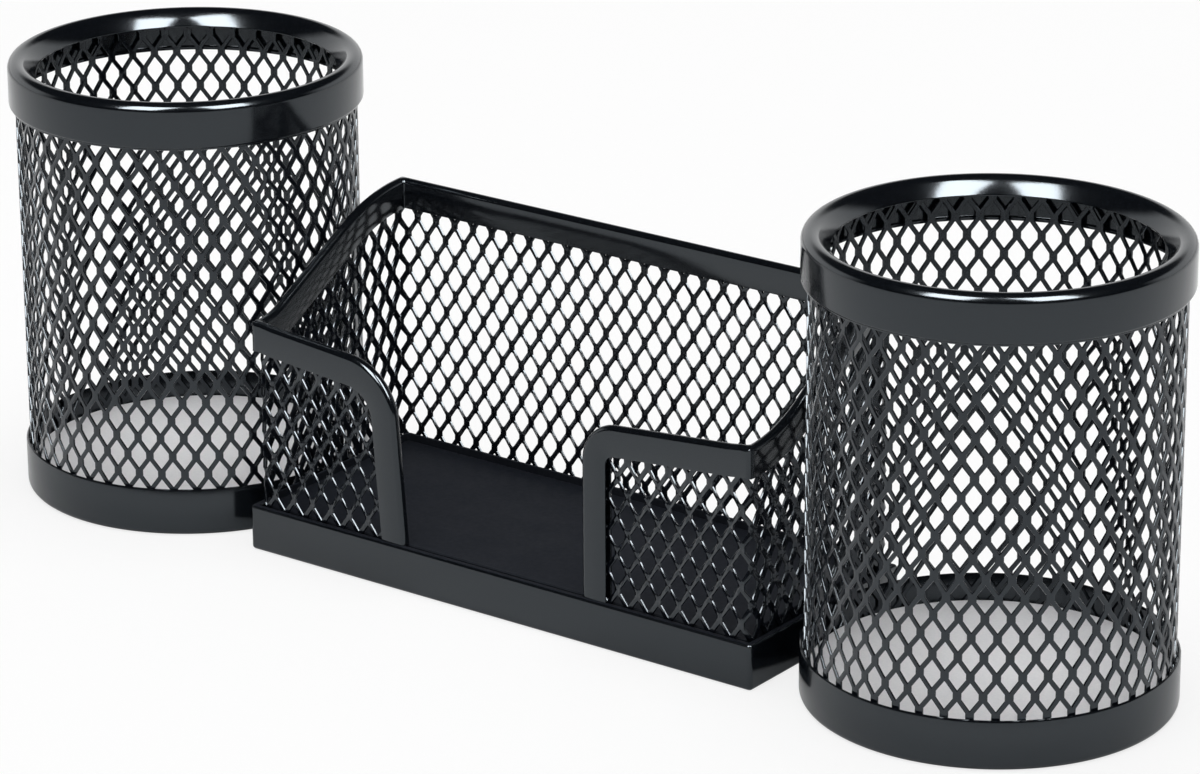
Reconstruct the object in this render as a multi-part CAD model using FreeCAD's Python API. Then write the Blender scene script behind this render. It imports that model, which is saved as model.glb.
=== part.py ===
"""Desk organizer of black expanded metal: two round pen cups either side of an open-front card tray.

Millimetres, +Z up. The origin is on the desk, midway between the cups, on the line through their axes.
The open front of the tray faces -Y.
"""
import FreeCAD, Part
import math
import os

# Sheet metal and fits
sheet = 0.8                 # pressed steel of the rims and bases
rail_sheet = 0.4            # folded strips over the tray mesh's edges
mesh_sheet = 0.6            # expanded metal, across its flattened strands
clearance = 0.1             # between a mesh and the channel that holds it

# Expanded metal, long diagonal upright
cell_width = 5.2
cell_height = 8.4
hole_share = 0.76           # a hole's diagonal over its cell's diagonal
selvedge = 2.4              # least solid metal above and below the holes

# Cups
cup_mesh_radius = 38.1      # outside of the mesh
cup_height = 100.0
rim_proud = 1.4             # from the mesh out to the rim's skirt
rim_width = 6.1             # across the rolled top, from skirt to inner lip
skirt_height = 10.3
shoulder_radius = 2.0       # outer turn of the rolled top
fall_radius = 2.5           # inner turn of the rolled top
fall_angle = 49.0           # slope of the inner lip, in degrees
base_ring_height = 10.9
base_edge_radius = 1.2
cup_floor_height = 5.2      # top of the floor disc above the desk
cup_floor_thickness = 1.0

# Tray
tray_width = 134.6
tray_depth = 55.0
tray_forward = 1.0          # tray's middle in front of the line through the cup axes
tray_base_height = 10.3
tray_floor_height = 10.2    # top of the floor panel above the desk
tray_floor_thickness = 1.0
rail_setback = 1.2          # from the base's outer wall in to the rails' outer face
bend_radius = 2.0           # outside of the mesh at the tray's corners
front_height = 52.7         # rails' crest at the front corners
front_dip = 3.5             # fall of the front rails from the corners to the notch
back_height = 72.2
side_back_run = 11.9        # from the kink that a side rail's upper turn rounds off to its back end
rail_height = 6.4
stile_width = 6.0

# The side rails and the finger gap in the front were bent by hand, and left and right differ
side_front_run = {"left": 5.1, "right": 11.0}   # from a rail's front end to the kink under its lower turn
lower_turn = {"left": 15.0, "right": 34.0}      # radius at the crest
upper_turn = {"left": 46.0, "right": 30.0}
notch_reach = {"left": 24.7, "right": 23.6}     # from the middle to a stile's foot
notch_radius = {"left": 13.5, "right": 8.6}     # crest of a front frame at the notch
stile_lean = {"left": 4.5, "right": 0.0}        # degrees that a stile leans away from the gap

# Joints between the cups and the tray
cup_gap = 0.7               # from a cup's base ring to the tray's base
weld_start = 5.0            # from the touching line to the near end of a weld
weld_length = 6.0
weld_height = 6.0
weld_bottom = 2.0

# Cup sizes that follow
base_ring_radius = cup_mesh_radius + clearance + sheet
rim_radius = cup_mesh_radius + rim_proud
cup_mesh_top = cup_height - shoulder_radius - sheet
cup_cells = round(2 * math.pi * cup_mesh_radius / cell_width)
cup_floor_radius = (cup_mesh_radius - mesh_sheet) * math.cos(math.pi / (2 * cup_cells)) - clearance
cup_offset = tray_width / 2 + cup_gap + base_ring_radius

# Tray sizes that follow, as distances from the tray's middle
tray_y = -tray_forward
base_half_x = tray_width / 2
base_half_y = tray_depth / 2
rail_half_x = base_half_x - rail_setback
rail_half_y = base_half_y - rail_setback
mesh_inset = rail_sheet + clearance                     # from a rail's face to its mesh
mesh_half_x = rail_half_x - mesh_inset
mesh_half_y = rail_half_y - mesh_inset
leg_inset = mesh_sheet + clearance                      # from the mesh's outside to the base's inner leg
dip_slope = front_dip / (rail_half_x - max(notch_reach.values()))
dip_stretch = math.hypot(1.0, dip_slope)                # height over square distance at a front rail
far = 2 * (tray_width + cup_height)                     # longer than anything here
bend_columns = 2                                        # half cells round a tray corner


def vector(x, y, z=0.0):
    return FreeCAD.Vector(x, y, z)


def prism(points, direction):
    """Solid swept along a direction from a closed polygon."""
    wire = Part.makePolygon(points + points[:1])
    return Part.Face(wire).extrude(direction)


def expanded_sheet(path, offsets, bottom, tops, closed):
    """Perforated wall over a plan path, with a vertex at each half cell.

    path has the outer corners in plan, offsets the steps from each to its inner corner, and tops the
    height of the wall at each. Outside is to the right of the path. The rows of holes alternate.
    """
    rise = hole_share * cell_height / 2
    count = len(path) if closed else len(path) - 1

    def at(index, z, inner=False, along=vector(0, 0)):
        index = index % len(path)
        step = offsets[index] if inner else vector(0, 0)
        return path[index] + step + along + vector(0, 0, z)

    def holes(index):
        index = index % len(path)
        if not closed and index in (0, len(path) - 1):
            return []
        lowest = bottom + selvedge + rise + (index % 2) * cell_height / 2
        highest = tops[index] - selvedge - rise
        rows = math.floor((highest - lowest) / cell_height) + 1
        return [lowest + row * cell_height for row in range(rows)]

    def side(index, run, inner):
        """Points up one edge of a column, in and out round the halves of its holes."""
        points = [at(index, bottom, inner)]
        for middle in holes(index):
            points.append(at(index, middle - rise, inner))
            points.append(at(index, middle, inner, run))
            points.append(at(index, middle + rise, inner))
        points.append(at(index, tops[index % len(path)], inner))
        return points

    faces = []

    def add_face(points):
        faces.append(Part.Face(Part.makePolygon(points + points[:1])))

    for column in range(count):
        # A bend is narrower inside, and a hole's walls go straight through
        run = (at(column + 1, 0, True) - at(column, 0, True)) * hole_share
        left = {inner: side(column, run, inner) for inner in (False, True)}
        right = {inner: side(column + 1, run * -1, inner) for inner in (False, True)}
        for inner in (False, True):
            add_face(left[inner] + right[inner][::-1])
        add_face([left[False][0], right[False][0], right[True][0], left[True][0]])
        # The upper edge is two triangles, because a slope beside a bend isn't flat
        add_face([left[False][-1], right[False][-1], right[True][-1]])
        add_face([left[False][-1], right[True][-1], left[True][-1]])
        for chain in (left, right):
            for hole in range((len(chain[False]) - 2) // 3):
                for edge in (3 * hole + 1, 3 * hole + 2):
                    outside = chain[False][edge:edge + 2]
                    inside = chain[True][edge:edge + 2]
                    add_face(outside + inside[::-1])
    if not closed:
        for end in (0, len(path) - 1):
            add_face([at(end, bottom), at(end, tops[end]), at(end, tops[end], True), at(end, bottom, True)])
    skin = Part.makeCompound(faces)
    skin.sewShape()
    return Part.makeSolid(skin.Shells[0])


def inward_offsets(path, closed):
    """Step from each outer corner of a plan path to the inner corner of a wall one mesh sheet thick."""
    steps = []
    for index in range(len(path)):
        normals = []
        for start in (index - 1, index):
            if closed or 0 <= start < len(path) - 1:
                run = path[(start + 1) % len(path)] - path[start % len(path)]
                run.normalize()
                normals.append(vector(run.y, -run.x))
        total = normals[0] + normals[-1]
        steps.append(total * (-mesh_sheet / total.dot(normals[0])))
    return steps


def cup_mesh():
    columns = 2 * cup_cells
    turn = 2 * math.pi / columns
    path = [vector(cup_mesh_radius * math.cos(turn * i), cup_mesh_radius * math.sin(turn * i))
            for i in range(columns)]
    tops = [cup_mesh_top] * columns
    return expanded_sheet(path, inward_offsets(path, True), sheet, tops, True)


def turned(edges):
    """Solid turned about the upright axis from a closed section in the XZ plane."""
    return Part.Face(Part.Wire(edges)).revolve(vector(0, 0), vector(0, 0, 1), 360)


def section_line(start, end):
    return Part.LineSegment(vector(start[0], 0, start[1]), vector(end[0], 0, end[1])).toShape()


def section_arc(start, middle, end):
    points = [vector(x, 0, z) for x, z in (start, middle, end)]
    return Part.Arc(*points).toShape()


def cup_rim():
    """Sheet rolled over the mesh: a skirt outside, a round top and a sloping lip with an upright edge."""
    skirt_bottom = cup_height - skirt_height
    skirt_inside = rim_radius - sheet
    shoulder = rim_radius - shoulder_radius
    spring = cup_height - shoulder_radius
    inner = rim_radius - rim_width
    fall_middle = cup_height - fall_radius
    slope = math.radians(fall_angle)
    diagonal = math.sqrt(0.5)

    def shoulder_spot(radius):
        return shoulder + radius * diagonal, spring + radius * diagonal

    def fall_spot(radius, angle):
        return shoulder - radius * math.sin(angle), fall_middle + radius * math.cos(angle)

    inside = fall_radius - sheet
    fall_end = fall_spot(fall_radius, slope)
    lip_top = fall_end[1] - (fall_end[0] - inner) * math.tan(slope)
    lip_bottom = lip_top - sheet / math.cos(slope)
    curl_middle = (skirt_inside + sheet * diagonal, skirt_bottom + sheet - sheet * diagonal)
    under_top = (shoulder, cup_height - sheet)
    return turned([
        section_arc((skirt_inside, skirt_bottom), curl_middle, (rim_radius, skirt_bottom + sheet)),
        section_line((rim_radius, skirt_bottom + sheet), (rim_radius, spring)),
        section_arc((rim_radius, spring), shoulder_spot(shoulder_radius), (shoulder, cup_height)),
        section_arc((shoulder, cup_height), fall_spot(fall_radius, slope / 2), fall_end),
        section_line(fall_end, (inner, lip_top)),
        section_line((inner, lip_top), (inner, lip_bottom)),
        section_line((inner, lip_bottom), fall_spot(inside, slope)),
        section_arc(fall_spot(inside, slope), fall_spot(inside, slope / 2), under_top),
        section_arc(under_top, shoulder_spot(shoulder_radius - sheet), (skirt_inside, spring)),
        section_line((skirt_inside, spring), (skirt_inside, skirt_bottom)),
    ])


def cup_base_ring():
    """Channel that takes the mesh's lower edge, with an inner leg under the floor disc."""
    outer = base_ring_radius
    wall = outer - sheet
    leg_outside = cup_floor_radius
    leg_inside = leg_outside - sheet
    leg_top = cup_floor_height - cup_floor_thickness
    edge = base_edge_radius
    slant = edge * math.sqrt(0.5)
    edge_middle = (outer - edge + slant, edge - slant)
    corners = [(outer, edge), (outer, base_ring_height), (wall, base_ring_height), (wall, sheet),
               (leg_outside, sheet), (leg_outside, leg_top), (leg_inside, leg_top), (leg_inside, 0.0),
               (outer - edge, 0.0)]
    lines = [section_line(a, b) for a, b in zip(corners, corners[1:])]
    return turned(lines + [section_arc((outer - edge, 0.0), edge_middle, (outer, edge))])


def cup_floor():
    bottom = cup_floor_height - cup_floor_thickness
    return Part.makeCylinder(cup_floor_radius, cup_floor_thickness, vector(0, 0, bottom))


def cup_welds(side):
    """Two fillets in the crevices between a cup's base ring and the tray's base."""
    ring = Part.makeCylinder(base_ring_radius, far, vector(side * cup_offset, 0, 0))
    welds = []
    for end in (-1, 1):
        low_y = weld_start if end > 0 else -weld_start - weld_length
        low_x = base_half_x if side > 0 else -base_half_x - base_ring_radius
        block = Part.makeBox(base_ring_radius, weld_length, weld_height, vector(low_x, low_y, weld_bottom))
        pieces = block.cut(ring).Solids
        welds.append(min(pieces, key=lambda piece: abs(piece.CenterOfMass.x)))
    return Part.makeCompound(welds)


def tray_block(half_x, half_y, bottom, top, radius=0.0):
    """Upright block about the tray's middle, with its corners rounded in plan."""
    corner = vector(-half_x, tray_y - half_y, bottom)
    block = Part.makeBox(2 * half_x, 2 * half_y, top - bottom, corner)
    if radius <= 0:
        return block
    upright = [edge for edge in block.Edges if abs(edge.tangentAt(edge.FirstParameter).z) > 0.5]
    return block.makeFillet(radius, upright)


def mesh_block(inset, bottom, top):
    """Block bounded by the tray mesh's outside moved in by an inset, bent corners included."""
    return tray_block(mesh_half_x - inset, mesh_half_y - inset, bottom, top, bend_radius - inset)


def tray_base():
    """Folded pan: outer walls with a lip turned in to the mesh, and an inner leg under the floor panel."""
    under_lip = tray_base_height - sheet
    leg_top = tray_floor_height - tray_floor_thickness
    pan = tray_block(base_half_x, base_half_y, 0.0, tray_base_height)
    pan = pan.cut(tray_block(base_half_x - sheet, base_half_y - sheet, sheet, under_lip))
    pan = pan.cut(tray_block(mesh_half_x + clearance, mesh_half_y + clearance, under_lip, tray_base_height))
    leg = mesh_block(leg_inset, 0.0, leg_top)
    middle = mesh_block(leg_inset + sheet, 0.0, leg_top)
    return pan.fuse(leg).removeSplitter().cut(middle)


def tray_floor_panel():
    return mesh_block(leg_inset, tray_floor_height - tray_floor_thickness, tray_floor_height)


def front_crest(x):
    """Height of the front rails' crest before the notch is rounded."""
    return front_height - dip_slope * (rail_half_x - abs(x))


def side_turns(side):
    """Middles of the two turns of a side rail's crest in the YZ plane, and the slope between the turns."""
    rise_start = tray_y - rail_half_y + side_front_run[side]
    rise_end = tray_y + rail_half_y - side_back_run
    slope = math.atan2(back_height - front_height, rise_end - rise_start)
    ease = math.tan(slope / 2)
    lower = vector(0, rise_start - lower_turn[side] * ease, front_height + lower_turn[side])
    upper = vector(0, rise_end + upper_turn[side] * ease, back_height - upper_turn[side])
    return lower, upper, slope


def under_crest(side, drop, bottom):
    """Solid along X under a side rail's crest moved square to itself by a drop, down to a bottom height."""
    lower, upper, slope = side_turns(side)

    def lower_spot(angle):
        return lower + vector(0, math.sin(angle), -math.cos(angle)) * (lower_turn[side] + drop)

    def upper_spot(angle):
        return upper + vector(0, -math.sin(angle), math.cos(angle)) * (upper_turn[side] - drop)

    front = lower_spot(0) - vector(0, far, 0)
    back = upper_spot(0) + vector(0, far, 0)
    corners = [back, vector(0, back.y, bottom), vector(0, front.y, bottom), front]
    edges = [
        Part.LineSegment(front, lower_spot(0)).toShape(),
        Part.Arc(lower_spot(0), lower_spot(slope / 2), lower_spot(slope)).toShape(),
        Part.LineSegment(lower_spot(slope), upper_spot(slope)).toShape(),
        Part.Arc(upper_spot(slope), upper_spot(slope / 2), upper_spot(0)).toShape(),
        Part.LineSegment(upper_spot(0), back).toShape(),
    ]
    edges += [Part.LineSegment(a, b).toShape() for a, b in zip(corners, corners[1:])]
    face = Part.Face(Part.Wire(edges))
    face.translate(vector(-far, 0))
    return face.extrude(vector(2 * far, 0))


def side_crest(side, y):
    """Height at which a side mesh stops under its rail's crest."""
    lower, upper, slope = side_turns(side)
    lower_radius = lower_turn[side] + mesh_inset
    upper_radius = upper_turn[side] - mesh_inset
    rise_start = lower.y + lower_radius * math.sin(slope)
    rise_end = upper.y - upper_radius * math.sin(slope)
    if y <= rise_start:
        return lower.z - math.sqrt(lower_radius ** 2 - max(y - lower.y, 0.0) ** 2)
    if y >= rise_end:
        return upper.z + math.sqrt(upper_radius ** 2 - max(upper.y - y, 0.0) ** 2)
    return lower.z - lower_radius * math.cos(slope) + (y - rise_start) * math.tan(slope)


def stile_edge(side, inset, z):
    """Distance from the middle to a stile's edge at a height, moved square to itself by an inset."""
    lean = math.radians(stile_lean[side])
    return notch_reach[side] + inset / math.cos(lean) + (z - tray_base_height) * math.tan(lean)


def notch_corner(side, inset, drop):
    """Where a stile's edge meets the front crest, both moved square to themselves, as (distance, height)."""
    lean = math.tan(math.radians(stile_lean[side]))
    foot = stile_edge(side, inset, tray_base_height)
    at_middle = front_crest(0.0) - drop * dip_stretch
    x = (foot + (at_middle - tray_base_height) * lean) / (1 - dip_slope * lean)
    return x, at_middle + dip_slope * x


def front_mesh_start(side):
    """Distance from the middle to a front mesh's upright end, inside the top of its leaning stile."""
    middle_x, middle_z = notch_corner(side, notch_radius[side], notch_radius[side])
    return middle_x - (notch_radius[side] - mesh_inset) * math.cos(math.radians(stile_lean[side]))


def front_mesh_crest(side, x):
    """Height at which a front mesh stops under its frame, round the notch's corner and along the rail."""
    middle_x, middle_z = notch_corner(side, notch_radius[side], notch_radius[side])
    radius = notch_radius[side] - mesh_inset
    if x >= middle_x - radius * dip_slope / dip_stretch:
        return front_crest(x) - mesh_inset * dip_stretch
    return middle_z + math.sqrt(max(radius ** 2 - (middle_x - x) ** 2, 0.0))


def tray_meshes():
    """The tray's mesh strip from one side of the notch round to the other, cut in the middle of its bends."""
    front_y = tray_y - mesh_half_y
    back_y = tray_y + mesh_half_y
    right_start = front_mesh_start("right")
    left_end = -front_mesh_start("left")
    radius = bend_radius

    def straight(start, end):
        cells = max(1, round((end - start).Length / cell_width))
        return [start + (end - start) * (i / (2 * cells)) for i in range(2 * cells)]

    def bend(x, y, start_angle):
        turn = math.pi / 2 / bend_columns
        angles = [start_angle + turn * i for i in range(bend_columns)]
        return [vector(x + radius * math.cos(a), y + radius * math.sin(a)) for a in angles]

    near_x = mesh_half_x - radius
    low_y = front_y + radius
    high_y = back_y - radius
    stretches = [
        straight(vector(right_start, front_y), vector(near_x, front_y)),
        bend(near_x, low_y, -math.pi / 2),
        straight(vector(mesh_half_x, low_y), vector(mesh_half_x, high_y)),
        bend(near_x, high_y, 0.0),
        straight(vector(near_x, back_y), vector(-near_x, back_y)),
        bend(-near_x, high_y, math.pi / 2),
        straight(vector(-mesh_half_x, high_y), vector(-mesh_half_x, low_y)),
        bend(-near_x, low_y, math.pi),
        straight(vector(-near_x, front_y), vector(left_end, front_y)) + [vector(left_end, front_y)],
    ]
    path = [point for stretch in stretches for point in stretch]
    offsets = inward_offsets(path, False)
    cuts = [0]
    done = 0
    for number, stretch in enumerate(stretches):
        if number % 2:
            cuts.append(done + bend_columns // 2)
        done += len(stretch)
    cuts.append(len(path) - 1)

    def crest(point):
        side = "right" if point.x > 0 else "left"
        if point.y < low_y and abs(point.x) < mesh_half_x:
            return min(front_mesh_crest(side, abs(point.x)), side_crest(side, point.y))
        return side_crest(side, point.y)

    names = ["tray_front_right_mesh", "tray_right_mesh", "tray_back_mesh", "tray_left_mesh",
             "tray_front_left_mesh"]
    meshes = {}
    for name, first, last in zip(names, cuts, cuts[1:]):
        points = path[first:last + 1]
        tops = [crest(point) for point in points]
        meshes[name] = expanded_sheet(points, offsets[first:last + 1], sheet, tops, False)
    return meshes


def rounded_front(side, inset, drop, corner_radius, bottom):
    """Front elevation of a frame as a solid along Y, drawn on the right, with the notch's corner rounded."""
    corner_x, corner_z = notch_corner(side, inset, drop)
    corner = vector(corner_x, -far, corner_z)
    top_end = vector(far, -far, front_crest(far) - drop * dip_stretch)
    foot = vector(stile_edge(side, inset, bottom), -far, bottom)
    body = prism([foot, vector(far, -far, bottom), top_end, corner], vector(0, 2 * far, 0))
    along = [edge for edge in body.Edges
             if edge.Length > 1.5 * far and (edge.CenterOfMass - corner).cross(vector(0, 1, 0)).Length < clearance]
    return body.makeFillet(corner_radius, along)


def mitred(shape, corners):
    """Part of a shape inside a plan polygon about the tray's middle."""
    points = [vector(x, tray_y + y, -far) for x, y in corners]
    return shape.common(prism(points, vector(0, 0, 2 * far)))


def tray_rails():
    """Folded strips over the mesh's upper edge, mitred at the tray's corners."""
    plan = tray_block(rail_half_x, rail_half_y, 0.0, cup_height)
    plan = plan.cut(mesh_block(leg_inset + rail_sheet, 0.0, cup_height))
    slot = mesh_block(-clearance, 0.0, cup_height).cut(mesh_block(leg_inset, 0.0, cup_height))

    below = -cup_height
    reach = rail_half_y
    ridge = rail_half_x - rail_half_y
    side_plan = [(rail_half_x, -reach), (rail_half_x, reach), (ridge, 0.0)]
    back_plan = [(rail_half_x, reach), (-rail_half_x, reach), (-ridge, 0.0), (ridge, 0.0)]
    front_plan = [(0.0, -reach), (rail_half_x, -reach), (ridge, 0.0), (0.0, 0.0)]

    def back_and_side(side):
        """Channel along the back and sides under one side's crest."""
        band = plan.common(under_crest(side, 0.0, below)).cut(under_crest(side, rail_height, below))
        return band.cut(slot.common(under_crest(side, rail_sheet, below)))

    def front_frame(side):
        """Rail and stile round the corner of the notch, drawn on the right."""
        radius = notch_radius[side]
        outside = rounded_front(side, 0.0, 0.0, radius, tray_base_height)
        opening = rounded_front(side, stile_width, rail_height, radius - rail_height, below)
        slot_front = rounded_front(side, rail_sheet, rail_sheet, radius - rail_sheet, below)
        return mitred(plan.common(outside).cut(opening).cut(slot.common(slot_front)), front_plan)

    middle_plane = vector(1, 0, 0)
    return {
        "tray_back_rail": mitred(back_and_side("right"), back_plan),
        "tray_right_rail": mitred(back_and_side("right"), side_plan),
        "tray_left_rail": mitred(back_and_side("left"), side_plan).mirror(vector(0, 0), middle_plane),
        "tray_front_right_frame": front_frame("right"),
        "tray_front_left_frame": front_frame("left").mirror(vector(0, 0), middle_plane),
    }


def cup_pieces():
    builders = {"mesh": cup_mesh, "rim": cup_rim, "base_ring": cup_base_ring, "floor": cup_floor}
    pieces = {}
    for name, build in builders.items():
        shape = build()
        for side_name, side in (("left", -1), ("right", 1)):
            placed = shape.copy()
            placed.translate(vector(side * cup_offset, 0, 0))
            pieces[f"{side_name}_cup_{name}"] = placed
    pieces["left_cup_welds"] = cup_welds(-1)
    pieces["right_cup_welds"] = cup_welds(1)
    return pieces


def main():
    os.makedirs("parts", exist_ok=True)
    pieces = {"tray_base": tray_base(), "tray_floor_panel": tray_floor_panel()}
    pieces.update(tray_meshes())
    pieces.update(tray_rails())
    pieces.update(cup_pieces())
    for name, shape in pieces.items():
        shape.exportStep(f"parts/{name}.step")
        print(f"{name:26s} solids {len(shape.Solids)} valid {shape.isValid()} volume {shape.Volume:10.1f}")


main()
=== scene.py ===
"""Looks of a desk organizer of black expanded metal: two round pen cups either side of an open-front tray.

Shapes are drawn in millimetres, +Z up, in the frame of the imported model, and scaled to metres as they are
made.
"""
import bpy
import bmesh
import math
from collections import namedtuple
from mathutils import Matrix, Vector


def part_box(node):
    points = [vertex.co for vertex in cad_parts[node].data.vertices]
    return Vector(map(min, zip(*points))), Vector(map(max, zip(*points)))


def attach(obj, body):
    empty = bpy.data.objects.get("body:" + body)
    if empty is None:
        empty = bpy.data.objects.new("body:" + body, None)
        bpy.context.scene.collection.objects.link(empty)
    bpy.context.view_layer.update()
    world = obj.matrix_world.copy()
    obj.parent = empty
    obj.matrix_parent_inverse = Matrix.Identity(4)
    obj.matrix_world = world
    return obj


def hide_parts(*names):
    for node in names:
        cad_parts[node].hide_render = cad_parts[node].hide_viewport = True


MM = 0.001
BODY = "root"

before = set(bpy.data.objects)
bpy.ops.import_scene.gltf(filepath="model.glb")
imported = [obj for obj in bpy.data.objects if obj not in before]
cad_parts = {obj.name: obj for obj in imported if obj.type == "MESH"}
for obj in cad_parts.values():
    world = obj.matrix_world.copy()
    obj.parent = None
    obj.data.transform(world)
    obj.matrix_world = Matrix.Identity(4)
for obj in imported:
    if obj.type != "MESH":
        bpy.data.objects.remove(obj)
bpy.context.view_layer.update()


def node_box(name):
    """Lowest and highest corners of a CAD node in millimetres."""
    low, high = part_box(name)
    return low / MM, high / MM


# Sheet metal
sheet = 0.8                     # pressed steel of the rims and bases
rail_sheet = 0.4                # folded strips of the tray's rails
mesh_sheet = 0.6                # expanded metal, across its flattened strands
strand_sheet = 0.5              # one strand by itself
# Painted edges of a strand fall away in two steps, each given through the sheet and across the strand
ease_depth = 0.05
ease_run = 0.09
bevel_depth = 0.19              # its run is part of a hole
clearance = 0.1

# Expanded metal: a cell is the diamond between the middles of four bonds
cell_width = 5.2
cell_height = 8.4
# A hole: half its width, half its height, half the upright part beside the bonds, how far the strands'
# edges lean out of the sheet, and the second step of those edges across the strand
Hole = namedtuple("Hole", "half_width half_height half_bond lean bevel_run")
cup_hole = Hole(1.68, 2.96, 0.68, 0.07, 0.06)
tray_hole = Hole(1.63, 2.86, 0.53, 0.235, 0.127)
side_share = 0.86               # along a hole's slanting side, where a strand starts to widen to its bond
edge_share = 0.3                # along a cell's side, where the edge of the bond is
flat_edge = 0.15                # share of the lean that is left where an edge of the sheet is crimped flat
crimp_run = 4.0                 # over which the lean comes back
strand_crease = 20.0            # degrees beyond which an edge of a strand stays sharp
cup_row = {"left": 9.9, "right": 11.2}      # height of one row of holes in a cup
tray_row = 13.5                 # height of one row of holes in the tray

# Cups, from the frame
rim_low, rim_high = node_box("right_cup_rim")
ring_low, ring_high = node_box("right_cup_base_ring")
cup_mesh_low, cup_mesh_high = node_box("right_cup_mesh")
cup_floor_low, cup_floor_high = node_box("right_cup_floor")
cup_x = (rim_low.x + rim_high.x) / 2
cup_y = (rim_low.y + rim_high.y) / 2
cup_height = rim_high.z
rim_radius = (rim_high.y - rim_low.y) / 2
skirt_bottom = rim_low.z
ring_radius = (ring_high.y - ring_low.y) / 2
ring_height = ring_high.z
cup_mesh_radius = ring_radius - sheet - clearance
cup_mesh_top = cup_mesh_high.z
cup_floor_radius = (cup_floor_high.y - cup_floor_low.y) / 2
rim_width = 6.1                 # across the rolled top, from skirt to inner lip
rim_sheet = 0.5                 # where the rolled top thins out to its lip
shoulder_radius = 2.0           # outer turn of the rolled top
fall_radius = 2.5               # inner turn of the rolled top
fall_angle = 49.0               # slope of the inner lip, in degrees
curl_lift = 0.05                # end of the skirt's curled edge above its lowest point
curl_share = 0.85               # height of the curl against its width
cup_turns = 240                 # facets round a turned piece

# Tray, from the frame
base_low, base_high = node_box("tray_base")
panel_low, panel_high = node_box("tray_floor_panel")
back_rail_high = node_box("tray_back_rail")[1]
front_frame_low, front_frame_high = node_box("tray_front_right_frame")
tray_y = (base_low.y + base_high.y) / 2
base_half_x = base_high.x
base_half_y = base_high.y - tray_y
base_top = base_high.z
rail_half_x = back_rail_high.x
rail_half_y = back_rail_high.y - tray_y
back_height = back_rail_high.z
front_height = front_frame_high.z
notch_reach = {"left": -node_box("tray_front_left_frame")[1].x, "right": front_frame_low.x}
notch_radius = {"left": 13.5, "right": 8.6}
stile_lean = {"left": 4.5, "right": 0.0}        # degrees away from the notch
mesh_start = {"left": -node_box("tray_front_left_mesh")[1].x,
              "right": node_box("tray_front_right_mesh")[0].x}
front_dip = 3.5                 # the front crests fall by this from the corners to the notch
# From a side rail's front end to the kink under its lower turn
side_front_run = {"left": 5.1, "right": 11.0}
lower_turn = {"left": 15.0, "right": 34.0}      # turns of the side rails' crest
upper_turn = {"left": 46.0, "right": 30.0}
side_back_run = 11.9            # from the kink over the upper turn to the rail's back end
rail_height = 6.4
stile_width = 6.0
rail_thickness = 2 * (rail_sheet + clearance) + mesh_sheet
crest_fold = 0.75               # outer fold along the rails' crest
rail_corner = 0.4               # outer fold of the rails at the tray's corners
bend_radius = 2.0               # outside of the mesh at the tray's corners
base_corner = 1.0
mesh_inset = rail_sheet + clearance  # from a rail's face to its mesh
fold_reach = mesh_inset + bend_radius   # from a tray corner to where its rails run straight
under_fold = 0.35               # from the inside of a fold down to the mesh's edge
dip_slope = front_dip / (rail_half_x - max(notch_reach.values()))


# Lines and sections

def rounded(corners, steps=6):
    """Line through corners given as (across, up, radius), each turned with its radius."""
    points = []
    for index, (across, up, radius) in enumerate(corners):
        here = Vector((across, up))
        if radius == 0 or index in (0, len(corners) - 1):
            points.append(here)
            continue
        before = (Vector(corners[index - 1][:2]) - here).normalized()
        after = (Vector(corners[index + 1][:2]) - here).normalized()
        half = before.angle(after) / 2
        middle = here + (before + after).normalized() * (radius / math.sin(half))
        start = here + before * (radius / math.tan(half)) - middle
        end = here + after * (radius / math.tan(half)) - middle
        first = math.atan2(start.y, start.x)
        turn = (math.atan2(end.y, end.x) - first + math.pi) % (2 * math.pi) - math.pi
        for step in range(steps + 1):
            angle = first + turn * step / steps
            points.append(middle + radius * Vector((math.cos(angle), math.sin(angle))))
    return points


def ellipse(middle, half_across, half_up, first, last, steps):
    """Points along an ellipse between two angles in degrees."""
    angles = [math.radians(first + (last - first) * step / steps) for step in range(steps + 1)]
    return [Vector((middle[0] + half_across * math.cos(angle), middle[1] + half_up * math.sin(angle)))
            for angle in angles]


def left_of(points, distance):
    """The same line moved to its left, with its corners mitred."""
    moved = []
    for index, point in enumerate(points):
        normals = []
        for start in (max(index - 1, 0), min(index, len(points) - 2)):
            run = (points[start + 1] - points[start]).normalized()
            normals.append(Vector((-run.y, run.x)))
        total = normals[0] + normals[1]
        moved.append(point + total * (distance / total.dot(normals[0])))
    return moved


def sheet_section(surface, thickness=sheet):
    """Closed section of bent sheet from the line of its outer surface, with the metal to the left of it."""
    inside = left_of(surface, thickness)
    ends = []
    for outer, inner, along in ((surface[-1], inside[-1], surface[-1] - surface[-2]),
                                (inside[0], surface[0], surface[0] - surface[1])):
        middle = (outer + inner) / 2
        across = (outer - inner) / 2
        reach = along.normalized() * thickness / 2
        ends.append([middle + across * math.cos(angle) + reach * math.sin(angle)
                     for angle in (math.pi / 4, math.pi / 2, 3 * math.pi / 4)])
    return surface + ends[0] + inside[::-1] + ends[1]


# Making pieces

longest_end = 40                # most edges round the cut end of a strand
merge_distance = 0.002          # points closer than this are one


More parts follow.
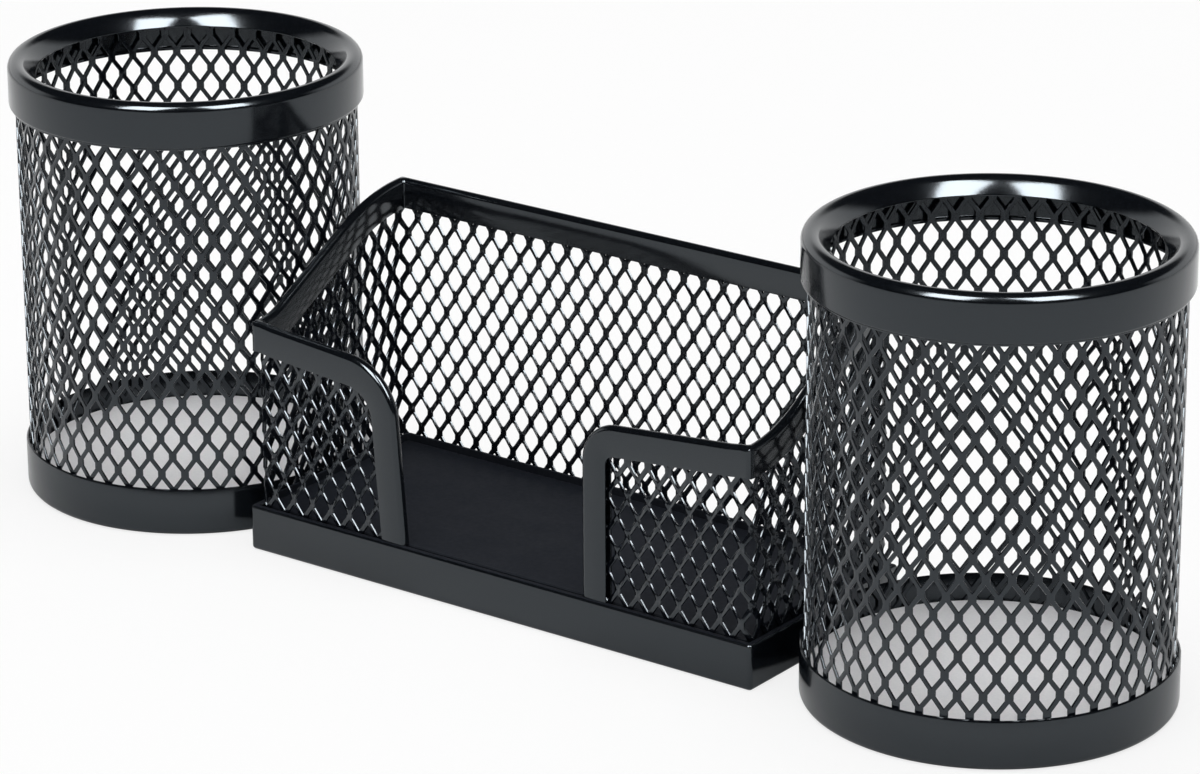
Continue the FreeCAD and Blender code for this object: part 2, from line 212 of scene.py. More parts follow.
def close_ends(work):
    """Cap the cut ends of strands: open loops of a few edges that touch no other loop."""
    near = {}
    for edge in work.edges:
        if edge.is_boundary:
            for corner in edge.verts:
                near.setdefault(corner, []).append(edge.other_vert(corner))
    done = set()
    for first in [corner for corner in work.verts if corner in near]:
        loop = [first]
        while first not in done and len(near[loop[-1]]) == 2 and len(loop) <= longest_end:
            onward = [corner for corner in near[loop[-1]] if corner not in loop[-2:]]
            if len(loop) > 2 and first in near[loop[-1]]:
                work.faces.new(loop)
                done.update(loop)
                break
            if not onward:
                break
            loop.append(onward[0])


def add_piece(name, points, faces, material, slot, nodes, crease=40.0):
    """Mesh object in the part's frame that stands for some CAD nodes."""
    mesh = bpy.data.meshes.new(name)
    mesh.from_pydata([point * MM for point in points], [], faces)
    work = bmesh.new()
    work.from_mesh(mesh)
    bmesh.ops.remove_doubles(work, verts=work.verts, dist=merge_distance * MM)
    bmesh.ops.dissolve_degenerate(work, edges=work.edges, dist=merge_distance * MM)
    close_ends(work)
    bmesh.ops.recalc_face_normals(work, faces=work.faces)
    work.to_mesh(mesh)
    work.free()
    mesh.shade_smooth()
    mesh.set_sharp_from_angle(angle=math.radians(crease))
    mesh.materials.append(material)
    piece = bpy.data.objects.new(name, mesh)
    bpy.context.scene.collection.objects.link(piece)
    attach(piece, BODY)
    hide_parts(*nodes)
    return piece


def ring_faces(rings, size, closed):
    """Quads between neighbouring rings of points, each ring a closed loop of one size."""
    faces = []
    for ring in range(rings if closed else rings - 1):
        here = ring * size
        there = (ring + 1) % rings * size
        for index in range(size):
            following = (index + 1) % size
            faces.append((here + index, there + index, there + following, here + following))
    return faces


def turned(section, middle_x):
    """Points and faces of a closed section turned about a cup's axis."""
    points = []
    for turn in range(cup_turns):
        angle = 2 * math.pi * turn / cup_turns
        points += [Vector((middle_x + spot.x * math.cos(angle), cup_y + spot.x * math.sin(angle), spot.y))
                   for spot in section]
    return points, ring_faces(cup_turns, len(section), True)


def swept(rings):
    """Points and faces of a section carried through rings of points, closed at its two ends."""
    size = len(rings[0])
    points = [point for ring in rings for point in ring]
    faces = ring_faces(len(rings), size, False)
    faces.append(tuple(range(size)))
    faces.append(tuple(range(len(points) - size, len(points))))
    return points, faces


# Materials

def add_node(tree, kind, **values):
    node = tree.nodes.new(kind)
    for socket, value in values.items():
        node.inputs[socket.replace("_", " ")].default_value = value
    return node


def noise(tree, scale, detail=2.0, roughness=0.5):
    """Noise in the part's own metres."""
    place = tree.nodes.new("ShaderNodeTexCoord")
    texture = add_node(tree, "ShaderNodeTexNoise", Scale=scale, Detail=detail, Roughness=roughness)
    tree.links.new(place.outputs["Object"], texture.inputs["Vector"])
    return texture.outputs["Fac"]


def ranged(tree, value, low, high, from_low=0.3, from_high=0.7):
    """A value spread over a range."""
    node = add_node(tree, "ShaderNodeMapRange")
    node.inputs["From Min"].default_value = from_low
    node.inputs["From Max"].default_value = from_high
    node.inputs["To Min"].default_value = low
    node.inputs["To Max"].default_value = high
    tree.links.new(value, node.inputs["Value"])
    return node.outputs["Result"]


def mixed(tree, factor, first, second):
    """Colour between two colours."""
    node = tree.nodes.new("ShaderNodeMix")
    node.data_type = "RGBA"
    node.inputs["A"].default_value = (*first, 1.0)
    node.inputs["B"].default_value = (*second, 1.0)
    tree.links.new(factor, node.inputs["Factor"])
    return node.outputs["Result"]


def bumped(tree, height, strength, distance, under=None):
    node = add_node(tree, "ShaderNodeBump", Strength=strength, Distance=distance)
    tree.links.new(height, node.inputs["Height"])
    if under:
        tree.links.new(under, node.inputs["Normal"])
    return node.outputs["Normal"]


def new_material(name):
    material = bpy.data.materials.new(name)
    material.use_nodes = True
    return material, material.node_tree, material.node_tree.nodes["Principled BSDF"]


def enamel(name, dark, light, smooth, rough, specular, peel):
    """Black stove enamel: cloudy gloss, fine orange peel and a trace of dust in the colour."""
    material, tree, shader = new_material(name)
    shader.inputs["Specular IOR Level"].default_value = specular
    shader.inputs["Specular Tint"].default_value = (0.84, 0.93, 1.0, 1.0)
    colour = mixed(tree, ranged(tree, noise(tree, 900.0, 4.0), 0.0, 1.0), dark, light)
    tree.links.new(colour, shader.inputs["Base Color"])
    tree.links.new(ranged(tree, noise(tree, 60.0, 5.0, 0.6), smooth, rough), shader.inputs["Roughness"])
    fine = bumped(tree, noise(tree, 2600.0, 1.0), peel / 2, 0.00004)
    tree.links.new(bumped(tree, noise(tree, 700.0, 2.0), peel, 0.0001, fine), shader.inputs["Normal"])
    return material


def board(name, dark, light):
    """Pale pressed board: mottled fibres, a few darker specks and a soft tooth."""
    material, tree, shader = new_material(name)
    shader.inputs["Specular IOR Level"].default_value = 0.25
    fibres = noise(tree, 1500.0, 6.0, 0.7)
    clouds = noise(tree, 45.0, 3.0)
    blend = tree.nodes.new("ShaderNodeMath")
    blend.operation = "MULTIPLY_ADD"
    blend.inputs[1].default_value = 0.45
    tree.links.new(clouds, blend.inputs[0])
    tree.links.new(ranged(tree, fibres, 0.0, 0.55), blend.inputs[2])
    tree.links.new(mixed(tree, blend.outputs["Value"], dark, light), shader.inputs["Base Color"])
    tree.links.new(ranged(tree, clouds, 0.72, 0.86), shader.inputs["Roughness"])
    tree.links.new(bumped(tree, fibres, 0.25, 0.0001), shader.inputs["Normal"])
    return material


gloss_black = enamel("gloss_black_enamel", (0.002, 0.003, 0.0045), (0.004, 0.005, 0.007),
                     smooth=0.11, rough=0.16, specular=0.66, peel=0.05)
mesh_black = enamel("mesh_black_enamel", (0.002, 0.003, 0.005), (0.005, 0.006, 0.009),
                    smooth=0.10, rough=0.16, specular=0.62, peel=0.08)
panel_black = enamel("panel_black_coat", (0.011, 0.013, 0.018), (0.016, 0.018, 0.024),
                     smooth=0.50, rough=0.62, specular=0.05, peel=0.18)
pale_board = board("pale_board", (0.74, 0.74, 0.77), (0.88, 0.87, 0.87))


# Expanded metal

def cell_rings(width, height, hole):
    """Points round one cell's middle on its six-sided hole and on the cell's edge, with the way they lean."""
    right = Vector((hole.half_width, 0.0))
    corner = Vector((hole.half_width, hole.half_bond))
    tip = Vector((0.0, hole.half_height))
    quarter = [(right, 0.0, -1), (corner, edge_share, -1),
               (corner.lerp(tip, side_share), 1 - edge_share, -1), (tip, 1.0, 0)]
    spots = []
    for side_x, side_z, part in ((1, 1, quarter[:3]), (-1, 1, quarter[:0:-1]), (-1, -1, quarter[:3]),
                                 (1, -1, quarter[:0:-1])):
        for spot, share, lean in part:
            edge = Vector((side_x * width / 2 * (1 - share), side_z * height / 2 * share))
            spots.append((Vector((side_x * spot.x, side_z * spot.y)), edge, side_x * lean))
    return spots


def expanded_metal(place, columns, pitch, row, bottom, top, closed, hole, held):
    """Points and faces of a sheet of expanded metal.

    place turns (along, up, out) into a point, columns counts half cells of width pitch, row is the height
    of the holes in even columns, and top gives the sheet's upper edge at a distance along it. held is how
    far the sheet is crimped flat from its lower and its upper edge. A face that lies wholly beyond an edge
    of the sheet is left out.
    """
    length = columns * pitch
    half = strand_sheet / 2
    spots = cell_rings(2 * pitch, cell_height, hole)
    size = len(spots)
    outline = [spot for spot, edge, way in spots]
    outline = outline[-1:] + outline + outline[:1]
    bevels = left_of(outline, -hole.bevel_run)[1:-1]
    eases = left_of(outline, -hole.bevel_run - ease_run)[1:-1]
    layers = []
    for (inner, edge, way), bevel, ease in zip(spots, bevels, eases):
        out = way * hole.lean
        front = [(edge, half, 0.0), (ease, half, out), (bevel, half - ease_depth, out),
                 (inner, half - ease_depth - bevel_depth, out)]
        layers.append(front + [(spot, -depth, lean_out) for spot, depth, lean_out in reversed(front)])
    layer_count = len(layers[0])
    cell_faces = ring_faces(layer_count, size, False)
    points = []
    faces = []
    for column in range(columns if closed else columns + 1):
        middle = column * pitch
        lift = column % 2 * cell_height / 2
        first = math.floor((bottom - row - lift) / cell_height)
        last = math.ceil((top(middle) - row - lift) / cell_height) + 1
        for number in range(first, last + 1):
            height = row + lift + number * cell_height
            start = len(points)
            beyond = []
            for layer in range(layer_count):
                for index in range(size):
                    spot, out, lean_out = layers[index][layer]
                    along = middle + spot.x
                    up = height + spot.y
                    sides = set()
                    if not closed and not 0.0 < along < length:
                        sides.add("start" if along <= 0.0 else "end")
                        along = min(max(along, 0.0), length)
                    crest = top(along)
                    if not bottom < up < crest:
                        sides.add("bottom" if up <= bottom else "top")
                        up = min(max(up, bottom), crest)
                    free = min(up - bottom - held[0], crest - held[1] - up) / crimp_run
                    beyond.append(sides)
                    points.append(place(along, up, out + lean_out * min(max(free, flat_edge), 1.0)))
            kept = [face for face in cell_faces
                    if not set.intersection(*(beyond[corner] for corner in face))]
            if not kept:
                del points[start:]
            faces += [tuple(start + corner for corner in face) for face in kept]
    return points, faces


# Cups

def rim_section():
    """Sheet rolled over the mesh: skirt with its edge curled in, round top, and a sloping lip."""
    shoulder = rim_radius - shoulder_radius
    surface = [Vector((rim_radius - 0.5 * sheet, skirt_bottom + curl_lift))]
    surface += ellipse((rim_radius - sheet, skirt_bottom + sheet), sheet, curl_share * sheet, -60, 0, 5)
    surface += ellipse((shoulder, cup_height - shoulder_radius), shoulder_radius, shoulder_radius, 0, 90, 12)
    surface += ellipse((shoulder, cup_height - fall_radius), fall_radius, fall_radius,
                       90, 90 + fall_angle, 10)[1:]
    slope = math.radians(fall_angle)
    run = surface[-1].x - (rim_radius - rim_width) - rim_sheet / 2 * math.cos(slope)
    surface.append(surface[-1] - Vector((run, run * math.tan(slope))))
    return sheet_section(surface, rim_sheet)


def ring_section():
    """Channel under the mesh, with a round lower edge and a leg under the floor disc."""
    leg = cup_floor_radius - sheet
    surface = rounded([(leg, cup_floor_low.z - sheet / 2, 0), (leg, 0.0, 0.5), (ring_radius, 0.0, 1.4),
                       (ring_radius, ring_height - sheet / 2, 0)])
    return sheet_section(surface)


def floor_section():
    """Disc with eased edges; its middle is a pin-point, so the section stays a closed loop."""
    low, high = cup_floor_low.z, cup_floor_high.z
    outer = cup_floor_radius
    pin_radius = 0.05
    lower_ease = 0.2
    upper_ease = 0.25
    return [Vector(spot) for spot in ((pin_radius, low), (outer - lower_ease, low), (outer, low + lower_ease),
                                      (outer, high - upper_ease), (outer - upper_ease, high),
                                      (pin_radius, high))]


def cup_place(middle_x, phase):
    """Where a spot on a cup's mesh is."""
    radius = cup_mesh_radius - mesh_sheet / 2

    def place(along, up, out):
        angle = phase + along / radius
        reach = radius + out
        return Vector((middle_x + reach * math.cos(angle), cup_y + reach * math.sin(angle), up))
    return place


cup_cells = round(2 * math.pi * cup_mesh_radius / cell_width)
cup_pitch = math.pi * (cup_mesh_radius - mesh_sheet / 2) / cup_cells
cup_phase = {"left": math.radians(1.5), "right": math.radians(3.0)}

for side_name, middle_x in (("left", -cup_x), ("right", cup_x)):
    add_piece(f"{side_name}_rim", *turned(rim_section(), middle_x), gloss_black, "black_enamel",
              [f"{side_name}_cup_rim"])
    add_piece(f"{side_name}_base_ring", *turned(ring_section(), middle_x), gloss_black, "black_enamel",
              [f"{side_name}_cup_base_ring"])
    add_piece(f"{side_name}_floor_disc", *turned(floor_section(), middle_x), pale_board, "floor_board",
              [f"{side_name}_cup_floor"])
    mesh_shape = expanded_metal(cup_place(middle_x, cup_phase[side_name]), 2 * cup_cells, cup_pitch,
                                cup_row[side_name], cup_mesh_low.z, lambda along: cup_mesh_top, True,
                                cup_hole, (ring_height - cup_mesh_low.z, cup_mesh_top - skirt_bottom))
    add_piece(f"{side_name}_mesh", *mesh_shape, mesh_black, "black_mesh", [f"{side_name}_cup_mesh"],
              strand_crease)


# Tray

def corner_spot(side_x, side_y, half_x, half_y, depth, radius, angle):
    """Plan point at a rounded corner of the tray, moved in by a depth; angle 0 faces X and 90 faces Y."""
    turn = math.radians(angle)
    x = half_x - depth - radius + radius * math.cos(turn)
    y = half_y - depth - radius + radius * math.sin(turn)
    return side_x * x, tray_y + side_y * y


def base_rings():
    """Folded pan of the tray carried round its four corners: lip, outer wall, flange and leg."""
    leg = base_half_x - (panel_high.x - sheet)
    lip = base_half_x - rail_half_x + mesh_inset - clearance
    leg_top = panel_low.z
    surface = rounded([(lip - sheet / 2, base_top, 0), (0.0, base_top, 0.7), (0.0, 0.0, 0.9),
                       (leg, 0.0, 0.5), (leg, leg_top - sheet / 2, 0)])
    section = sheet_section(surface)
    rings = []
    rising = (0, 30, 60, 90)
    falling = rising[::-1]
    for side_x, side_y, angles in ((1, 1, rising), (-1, 1, falling), (-1, -1, rising), (1, -1, falling)):
        for angle in angles:
            ring = []
            for spot in section:
                radius = max(base_corner - spot.x, 0.0)
                plan = corner_spot(side_x, side_y, base_half_x, base_half_y, spot.x, radius, angle)
                ring.append(Vector((*plan, spot.y)))
            rings.append(ring)
    return rings


base_loops = base_rings()
tray_pan = add_piece("tray_pan", [point for ring in base_loops for point in ring],
                     ring_faces(len(base_loops), len(base_loops[0]), True), gloss_black, "black_enamel",
                     ["tray_base"])
tray_pan.data.materials.append(panel_black)
facing_up = 0.9
for face in tray_pan.data.polygons:     # the lip's upper side has the floor's matte coat
    if face.normal.z > facing_up and face.center.z > (base_top - sheet / 2) * MM:
        face.material_index = 1


panel_half_x = panel_high.x
panel_half_y = (panel_high.y - panel_low.y) / 2
panel_corner = bend_radius - mesh_sheet - clearance
panel_top = panel_high.z
panel_ease = 0.25
upstand_top = base_top + 1.7    # edge of the floor that is turned up along the mesh
upstand_sheet = 0.5
upstand_start = 4.0             # behind the front corners
out_turn = range(0, 91, 15)
in_turn = range(90, -1, -15)


def panel_spot(side_x, side_y, inset, angle, up):
    radius = max(panel_corner - inset, 0.0)
    return Vector((*corner_spot(side_x, side_y, panel_half_x, panel_half_y, inset, radius, angle), up))


def floor_panel():
    """Floor of the tray: a plate with round corners and eased edges."""
    loops = []
    for inset, up in ((panel_ease, panel_low.z), (0.0, panel_low.z + panel_ease),
                      (0.0, panel_top - panel_ease), (panel_ease, panel_top)):
        loops.append([panel_spot(side_x, side_y, inset, angle, up)
                      for side_x, side_y, angles in ((1, 1, out_turn), (-1, 1, in_turn), (-1, -1, out_turn),
                                                     (1, -1, in_turn))
                      for angle in angles])
    return swept(loops)


def floor_upstand():
    """Edge of the floor turned up along the mesh of the sides and the back."""
    ease = upstand_sheet / 3
    section = [(0.0, panel_top - panel_ease), (upstand_sheet, panel_top - panel_ease),
               (upstand_sheet, upstand_top - ease), (upstand_sheet - ease, upstand_top),
               (ease, upstand_top), (0.0, upstand_top - ease)]
    front = tray_y - panel_half_y + upstand_start
    rings = [[Vector((inset - panel_half_x, front, up)) for inset, up in section]]
    for side_x, angles in ((-1, out_turn), (1, in_turn)):
        rings += [[panel_spot(side_x, 1, inset, angle, up) for inset, up in section] for angle in angles]
    rings.append([Vector((panel_half_x - inset, front, up)) for inset, up in section])
    return swept(rings)


def joined(first, second):
    """Two shapes as one."""
    start = len(first[0])
    return first[0] + second[0], first[1] + [tuple(start + corner for corner in face) for face in second[1]]


add_piece("tray_panel", *joined(floor_panel(), floor_upstand()), panel_black, "black_enamel",
          ["tray_floor_panel"])


def strip_section(leg_length):
    """Strip folded over the mesh's edge, as depth from its outer face and distance down from its crest."""
    edge = leg_length - rail_sheet / 2
    surface = rounded([(rail_thickness, edge, 0), (rail_thickness, 0.0, crest_fold), (0.0, 0.0, crest_fold),
                       (0.0, edge, 0)], 6)
    return sheet_section(surface, rail_sheet)


def fold_radius(depth):
    """Plan radius of a rail's fold at a tray corner: tight outside, round the bent mesh inside."""
    share = min(depth / (mesh_inset + mesh_sheet + clearance), 1.0)
    blend = share * share * (3 - 2 * share)
    return (1 - blend) * rail_corner + blend * (fold_reach - depth)


def corner_rings(side_x, side_y, crest, leg_length, angles):
    """Rings of a rail's section through part of a fold at a tray corner."""
    rings = []
    for angle in angles:
        ring = []
        for spot in strip_section(leg_length):
            plan = corner_spot(side_x, side_y, rail_half_x, rail_half_y, spot.x, fold_radius(spot.x), angle)
            ring.append(Vector((*plan, crest - spot.y)))
        rings.append(ring)
    return rings


def wall_rings(line, to_space, leg_lengths):
    """Rings of a rail's section along a crest line in a wall, square to the line.

    line has (along, up) points, and to_space turns (along, up, depth) into a point in the part.
    """
    rings = []
    inward = left_of(line, -1.0)
    for point, inner, leg_length in zip(line, inward, leg_lengths):
        step = inner - point
        rings.append([Vector(to_space(point.x + step.x * spot.y, point.y + step.y * spot.y, spot.x))
                      for spot in strip_section(leg_length)])
    return rings


fold_steps = (0, 15, 30, 45)
other_fold_steps = (45, 60, 75, 90)


def back_rail():
    rings = corner_rings(-1, 1, back_height, rail_height, other_fold_steps)
    rings += corner_rings(1, 1, back_height, rail_height, other_fold_steps[::-1])
    return swept(rings)


def side_height(side, y):
    """Crest of a side rail: level, a hollow turn, a slope, a round turn and level again."""
    rise_start = tray_y - rail_half_y + side_front_run[side]
    rise_end = tray_y + rail_half_y - side_back_run
    slope = math.atan2(back_height - front_height, rise_end - rise_start)
    lower_reach = lower_turn[side] * math.tan(slope / 2)
    upper_reach = upper_turn[side] * math.tan(slope / 2)
    if y < rise_start + lower_reach * math.cos(slope):
        along = max(y - rise_start + lower_reach, 0.0)
        return front_height + lower_turn[side] - math.sqrt(lower_turn[side] ** 2 - along ** 2)
    if y > rise_end - upper_reach * math.cos(slope):
        along = max(rise_end + upper_reach - y, 0.0)
        return back_height - upper_turn[side] + math.sqrt(upper_turn[side] ** 2 - along ** 2)
    return front_height + (y - rise_start) * math.tan(slope)


def side_line(side):
    """Crest of a side rail from the front fold to the back fold, as (distance along Y, height)."""
    steps = 48
    reach = rail_half_y - fold_reach
    return [Vector((tray_y + y, side_height(side, tray_y + y)))
            for y in (reach * (2 * step / steps - 1) for step in range(steps + 1))]


def side_rail(side, side_x):
    line = side_line(side)
    rings = corner_rings(side_x, -1, front_height, rail_height, fold_steps[::-1])
    rings += wall_rings(line, lambda along, up, depth: (side_x * (rail_half_x - depth), along, up),
                        [rail_height] * len(line))
    rings += corner_rings(side_x, 1, back_height, rail_height, fold_steps)
    return swept(rings)


def front_line(side):
    """Crest of a front frame from the foot of its stile round the notch to the fold, drawn on the right."""
    lean = math.tan(math.radians(stile_lean[side]))
    at_middle = front_height - dip_slope * rail_half_x
    corner = (notch_reach[side] + (at_middle - base_top) * lean) / (1 - dip_slope * lean)
    end = rail_half_x - fold_reach
    ease = 3.0                  # over which the crest rises to the fold's level
    ease_turn = 8.0
    return rounded([(notch_reach[side], base_top, 0),
                    (corner, at_middle + dip_slope * corner, notch_radius[side]),
                    (end - ease, at_middle + dip_slope * (end - ease), ease_turn),
                    (end, front_height, 0)], 14)


def front_frame(side, side_x):
    line = front_line(side)
    front_y = tray_y - rail_half_y
    legs = []
    for point in line:
        share = min((point.x - notch_reach[side]) / notch_radius[side], 1.0)
        legs.append(stile_width + (rail_height - stile_width) * share)
    rings = wall_rings(line, lambda along, up, depth: (side_x * along, front_y + depth, max(up, base_top)),
                       legs)
    rings += corner_rings(side_x, -1, front_height, rail_height, other_fold_steps[::-1])
    return swept(rings)


add_piece("back_rail", *back_rail(), gloss_black, "black_enamel", ["tray_back_rail"])
for side_name, side_x in (("left", -1), ("right", 1)):
    add_piece(f"{side_name}_rail", *side_rail(side_name, side_x), gloss_black, "black_enamel",
              [f"tray_{side_name}_rail"])
    add_piece(f"front_{side_name}_frame", *front_frame(side_name, side_x), gloss_black, "black_enamel",
              [f"tray_front_{side_name}_frame"])


def tray_path():
    """Middle of the tray's mesh strip in plan, from the right of the notch round to the left of it.

    Stretches are (start point, heading angle, length, radius), with radius 0 for a straight.
    """
    radius = bend_radius - mesh_sheet / 2
    half_x = rail_half_x - mesh_inset - mesh_sheet / 2
    half_y = rail_half_y - mesh_inset - mesh_sheet / 2
    right_wing = half_x - radius - mesh_start["right"]
    left_wing = half_x - radius - mesh_start["left"]
    bend = radius * math.pi / 2
    lengths = [(right_wing, 0), (bend, radius), (2 * (half_y - radius), 0), (bend, radius),
               (2 * (half_x - radius), 0), (bend, radius), (2 * (half_y - radius), 0), (bend, radius),
               (left_wing, 0)]
    stretches = []
    here = Vector((mesh_start["right"], tray_y - half_y))
    heading = 0.0
    for length, turn_radius in lengths:
        stretches.append((here.copy(), heading, length, turn_radius))
        if turn_radius:
            left = Vector((-math.sin(heading), math.cos(heading)))
            middle = here + left * turn_radius
            heading += math.pi / 2
            here = middle - Vector((-math.sin(heading), math.cos(heading))) * turn_radius
        else:
            here = here + Vector((math.cos(heading), math.sin(heading))) * length
    return stretches


tray_stretches = tray_path()
tray_length = sum(length for start, heading, length, radius in tray_stretches)


def tray_plan(along):
    """Plan point of the tray's mesh strip and the direction out of the tray there."""
    for start, heading, length, radius in tray_stretches[:-1]:
        if along <= length:
            break
        along -= length
    else:
        start, heading, length, radius = tray_stretches[-1]
    if radius:
        angle = heading + along / radius
        left = Vector((-math.sin(heading), math.cos(heading)))
        out = Vector((math.sin(angle), -math.cos(angle)))
        return start + left * radius + out * radius, out
    ahead = Vector((math.cos(heading), math.sin(heading)))
    return start + ahead * along, Vector((ahead.y, -ahead.x))


mesh_drop = rail_sheet + under_fold
side_crest = {side: left_of(side_line(side), -mesh_drop) for side in side_front_run}
front_crest = {side: left_of(front_line(side), -mesh_drop) for side in notch_reach}


def line_height(line, along):
    """Height of a crest line at a distance along it, level beyond its ends."""
    for start, end in zip(line, line[1:]):
        if start.x <= along <= end.x and end.x > start.x:
            return start.y + (end.y - start.y) * (along - start.x) / (end.x - start.x)
    return line[0].y if along < line[0].x else line[-1].y


def tray_top(along):
    """Height at which the tray's mesh stops, inside its rails."""
    spot, out = tray_plan(along)
    side = "right" if spot.x > 0 else "left"
    if spot.y < tray_y - rail_half_y + fold_reach and abs(spot.x) < rail_half_x - fold_reach:
        return line_height(front_crest[side], abs(spot.x))
    return line_height(side_crest[side], spot.y)


def tray_place(along, up, out_by):
    spot, out = tray_plan(along)
    return Vector((spot.x + out.x * out_by, spot.y + out.y * out_by, up))


tray_columns = 2 * round(tray_length / cell_width)
tray_mesh = expanded_metal(tray_place, tray_columns, tray_length / tray_columns, tray_row, cup_mesh_low.z,
                           tray_top, False, tray_hole,
                           (base_top - cup_mesh_low.z, rail_height - mesh_drop))
add_piece("tray_mesh", *tray_mesh, mesh_black, "black_mesh",
          ["tray_back_mesh", "tray_left_mesh", "tray_right_mesh", "tray_front_left_mesh",
           "tray_front_right_mesh"], strand_crease)

for side_name in ("left", "right"):
    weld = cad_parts[f"{side_name}_cup_welds"]
    weld.data.materials.clear()
    weld.data.materials.append(gloss_black)


# Floor, light and camera

floor_size = 20.0               # half the paper's width, in metres
floor_roughness = 0.9
floor_shown_white = 0.8         # share of the paper that is white by itself to the camera
floor_gloss_white = 0.1         # and in gloss


def add_floor():
    """White paper, partly white by itself to the camera and to gloss, so that its shadow stays faint."""
    work = bmesh.new()
    bmesh.ops.create_grid(work, x_segments=8, y_segments=8, size=floor_size)
    mesh = bpy.data.meshes.new("studio_floor")
    work.to_mesh(mesh)
    work.free()
    material, tree, shader = new_material("studio_floor")
    tree.links.new(mixed(tree, noise(tree, 3.0), (0.92, 0.92, 0.92), (0.95, 0.95, 0.95)),
                   shader.inputs["Base Color"])
    shader.inputs["Roughness"].default_value = floor_roughness
    shader.inputs["Specular IOR Level"].default_value = 0.0
    white = add_node(tree, "ShaderNodeEmission", Color=(1.0, 1.0, 1.0, 1.0), Strength=1.0)
    path = tree.nodes.new("ShaderNodeLightPath")
    shown = tree.nodes.new("ShaderNodeMath")
    shown.operation = "MULTIPLY_ADD"
    tree.links.new(path.outputs["Is Glossy Ray"], shown.inputs[0])
    shown.inputs[1].default_value = floor_gloss_white
    seen = ranged(tree, path.outputs["Is Camera Ray"], 0.0, floor_shown_white, 0.0, 1.0)
    tree.links.new(seen, shown.inputs[2])
    blend = tree.nodes.new("ShaderNodeMixShader")
    tree.links.new(shown.outputs["Value"], blend.inputs["Fac"])
    tree.links.new(shader.outputs["BSDF"], blend.inputs[1])
    tree.links.new(white.outputs["Emission"], blend.inputs[2])
    tree.links.new(blend.outputs["Shader"], tree.nodes["Material Output"].inputs["Surface"])
    mesh.materials.append(material)
    floor = bpy.data.objects.new("studio_floor", mesh)
    bpy.context.scene.collection.objects.link(floor)


add_floor()

camera_place = Vector((0.61270, -0.80948, 0.41674))
camera_yaw = math.radians(36.772)
camera_pitch = math.radians(20.166)
camera_roll = math.radians(-0.303)
camera_lens = 151.32
camera_sensor = 36.0
camera_near = 0.01
aim = Vector((0.0078, 0.0, 0.0456))     # where the lamps point


def add_camera():
    back = Vector((math.sin(camera_yaw) * math.cos(camera_pitch),
                   -math.cos(camera_yaw) * math.cos(camera_pitch), math.sin(camera_pitch)))
    level = Vector((math.cos(camera_yaw), math.sin(camera_yaw), 0.0))
    rise = back.cross(level)
    right = math.cos(camera_roll) * level + math.sin(camera_roll) * rise
    up = -math.sin(camera_roll) * level + math.cos(camera_roll) * rise
    data = bpy.data.cameras.new("camera")
    data.sensor_fit = "HORIZONTAL"
    data.sensor_width = camera_sensor
    data.lens = camera_lens
    data.clip_start = camera_near
    camera = bpy.data.objects.new("camera", data)
    camera.matrix_world = Matrix.Translation(camera_place) @ Matrix((right, up, back)).transposed().to_4x4()
    bpy.context.scene.collection.objects.link(camera)
    bpy.context.scene.camera = camera


add_camera()


def add_lamp(name, turn, elevation, distance, width, height, power):
    """Rectangular lamp facing the object, turned about it from the camera's side."""
    angle = camera_yaw + math.radians(turn)
    rise = math.radians(elevation)
    way = Vector((math.sin(angle) * math.cos(rise), -math.cos(angle) * math.cos(rise), math.sin(rise)))
    data = bpy.data.lights.new(name, "AREA")
    data.shape = "RECTANGLE"
    data.size = width
    data.size_y = height
    data.energy = power
    lamp = bpy.data.objects.new(name, data)
    lamp.location = aim + way * distance
    lamp.rotation_euler = way.to_track_quat("Z", "Y").to_euler()
    lamp.visible_camera = False
    bpy.context.scene.collection.objects.link(lamp)
    return lamp


softbox_turn = 32.6             # degrees to either side of the camera
# Two tall softboxes show in the gloss, and a soft lamp overhead lights the matte surfaces
for name, turn in (("softbox_left", -softbox_turn), ("softbox_right", softbox_turn)):
    softbox = add_lamp(name, turn, elevation=46.0, distance=1.6, width=0.64, height=1.1, power=47.0)
    softbox.visible_diffuse = False
fill = add_lamp("fill_overhead", 0.0, elevation=88.0, distance=1.5, width=0.9, height=0.9, power=12.0)
fill.visible_glossy = False


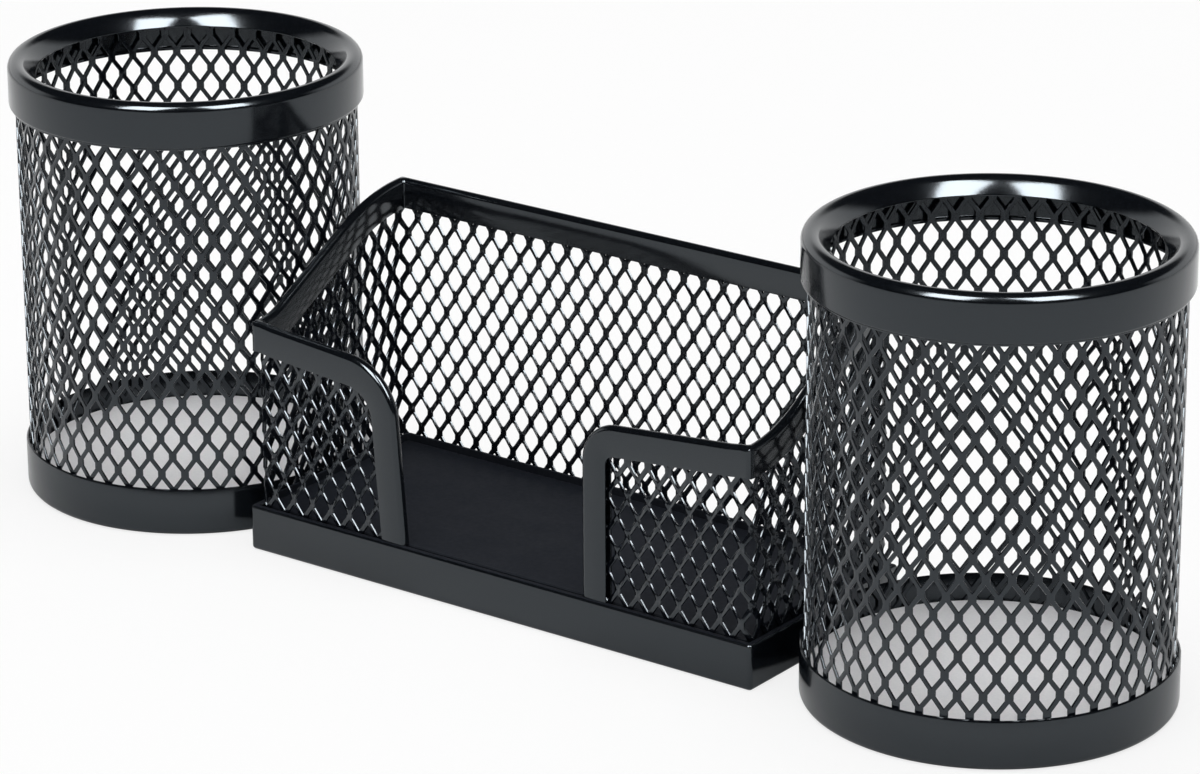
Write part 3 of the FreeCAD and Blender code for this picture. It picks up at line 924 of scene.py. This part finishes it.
backdrop_sides = (-0.05, 0.25)  # over which the dark room turns into the backdrop, away from the camera
backdrop_top = (0.36, 0.47)     # and over which the backdrop ends, upward
room_grey = (0.02, 0.02, 0.02)
white = (1.0, 1.0, 1.0)
world_light = 0.56


def add_world():
    """White studio: for gloss, a white backdrop behind the object and a dark room in front."""
    world = bpy.data.worlds.new("studio")
    world.use_nodes = True
    tree = world.node_tree
    bpy.context.scene.world = world
    place = tree.nodes.new("ShaderNodeTexCoord")
    split = tree.nodes.new("ShaderNodeSeparateXYZ")
    tree.links.new(place.outputs["Generated"], split.inputs["Vector"])
    away = tree.nodes.new("ShaderNodeVectorMath")
    away.operation = "DOT_PRODUCT"
    away.inputs[1].default_value = (-math.sin(camera_yaw), math.cos(camera_yaw), 0.0)
    tree.links.new(place.outputs["Generated"], away.inputs[0])
    backdrop = tree.nodes.new("ShaderNodeMath")
    backdrop.operation = "MULTIPLY"
    tree.links.new(ranged(tree, away.outputs["Value"], 0.0, 1.0, *backdrop_sides), backdrop.inputs[0])
    tree.links.new(ranged(tree, split.outputs["Z"], 1.0, 0.0, *backdrop_top), backdrop.inputs[1])
    shade = mixed(tree, backdrop.outputs["Value"], room_grey, white)
    path = tree.nodes.new("ShaderNodeLightPath")
    light = add_node(tree, "ShaderNodeBackground", Color=(*white, 1.0), Strength=world_light)
    seen = add_node(tree, "ShaderNodeBackground", Color=(*white, 1.0), Strength=1.0)
    mirrored = add_node(tree, "ShaderNodeBackground", Strength=1.0)
    tree.links.new(shade, mirrored.inputs["Color"])
    glossy = tree.nodes.new("ShaderNodeMixShader")
    tree.links.new(path.outputs["Is Glossy Ray"], glossy.inputs["Fac"])
    tree.links.new(light.outputs["Background"], glossy.inputs[1])
    tree.links.new(mirrored.outputs["Background"], glossy.inputs[2])
    camera = tree.nodes.new("ShaderNodeMixShader")
    tree.links.new(path.outputs["Is Camera Ray"], camera.inputs["Fac"])
    tree.links.new(glossy.outputs["Shader"], camera.inputs[1])
    tree.links.new(seen.outputs["Background"], camera.inputs[2])
    tree.links.new(camera.outputs["Shader"], tree.nodes["World Output"].inputs["Surface"])


add_world()
bpy.context.scene.view_settings.view_transform = "Standard"
